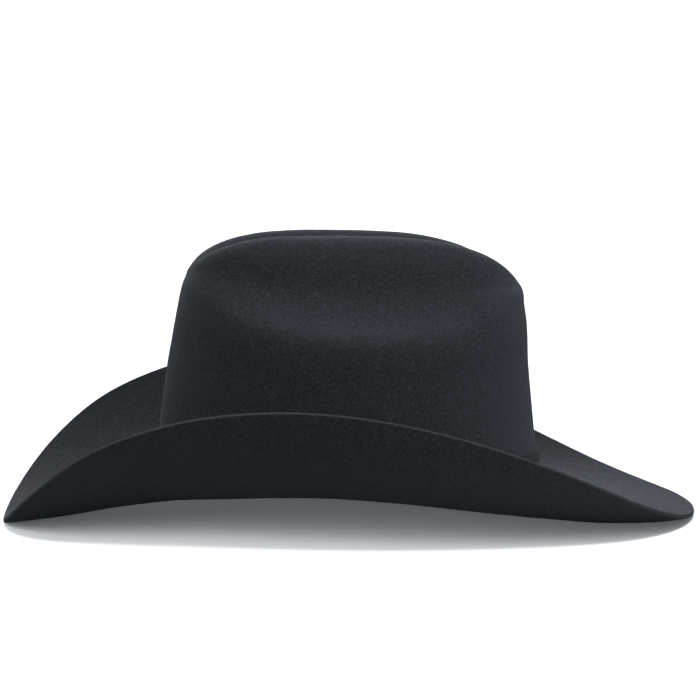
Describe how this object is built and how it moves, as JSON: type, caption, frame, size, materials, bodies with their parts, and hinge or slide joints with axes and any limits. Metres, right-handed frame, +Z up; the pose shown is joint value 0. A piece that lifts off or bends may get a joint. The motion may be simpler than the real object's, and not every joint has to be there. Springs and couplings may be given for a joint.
{
  "type": "cowboy hat",
  "caption": "Felt cowboy hat with a creased, dented crown and a rolled brim, a narrow buckled hatband, and a leather sweatband and satin lining inside.",
  "frame": {"origin": "centre of the bounding box in plan, on the surface the hat stands on", "axes": "+X towards the front of the hat, +Y towards the wearer's left, +Z up through the crown"},
  "size_m": [0.3868, 0.3282, 0.1576],
  "materials": {
    "hat_felt": "dense black wool felt, matt, short fuzzy nap",
    "band_felt": "black felt strip, raw cut edges, matt",
    "buckle_metal": "small nickel plated hatband buckle, soft polish",
    "band_thread": "black tack stitches",
    "sweat_leather": "black sweatband leather, fine grain, semi matt",
    "reed_tape": "black woven reed tape",
    "reed_plastic": "flexible reed in the sweatband's rolled edge",
    "sweat_thread": "black cotton thread",
    "label_cloth": "blank woven size label",
    "bow_ribbon": "black grosgrain bow",
    "lining_satin": "black satin lining",
    "piping_satin": "satin covered piping cord",
    "clear_film": "clear soft plastic film"
  },
  "bodies": {
    "hat": {"felt_body": "hat_felt", "hatband": "band_felt", "band_tongue": "band_felt", "band_fold": "band_felt", "band_tip": "buckle_metal", "hatband_tacks": "band_thread", "sweatband": "sweat_leather", "sweatband_reed_tape": "reed_tape", "sweatband_reed": "reed_plastic", "sweatband_stitches": "sweat_thread", "sweatband_seam": "sweat_thread", "size_label": "label_cloth", "sweatband_bow": "bow_ribbon", "lining_side": "lining_satin", "lining_tip": "lining_satin", "lining_piping": "piping_satin", "tip_protector": "clear_film"},
    "buckle_frame": {"band_buckle": "buckle_metal"},
    "buckle_prong": {"band_buckle_prong": "buckle_metal"},
    "keeper": {"band_keeper": "buckle_metal"}
  },
  "joints": [
    {"name": "buckle_hinge", "type": "hinge", "parent": "hat", "child": "buckle_frame", "pos_m": [0.01038, 0.08988, 0.03518], "axis": [-0.0087, -0.1011, 0.9948], "range_deg": [0, 20]},
    {"name": "prong_hinge", "type": "hinge", "parent": "buckle_frame", "child": "buckle_prong", "pos_m": [0.01038, 0.08988, 0.03518], "axis": [-0.0087, -0.1011, 0.9948], "range_deg": [0, 50]},
    {"name": "keeper_slide", "type": "slide", "parent": "hat", "child": "keeper", "axis": [-0.9998, 0.0211, 0], "range_m": [-0.0025, 0.0025]}
  ]
}
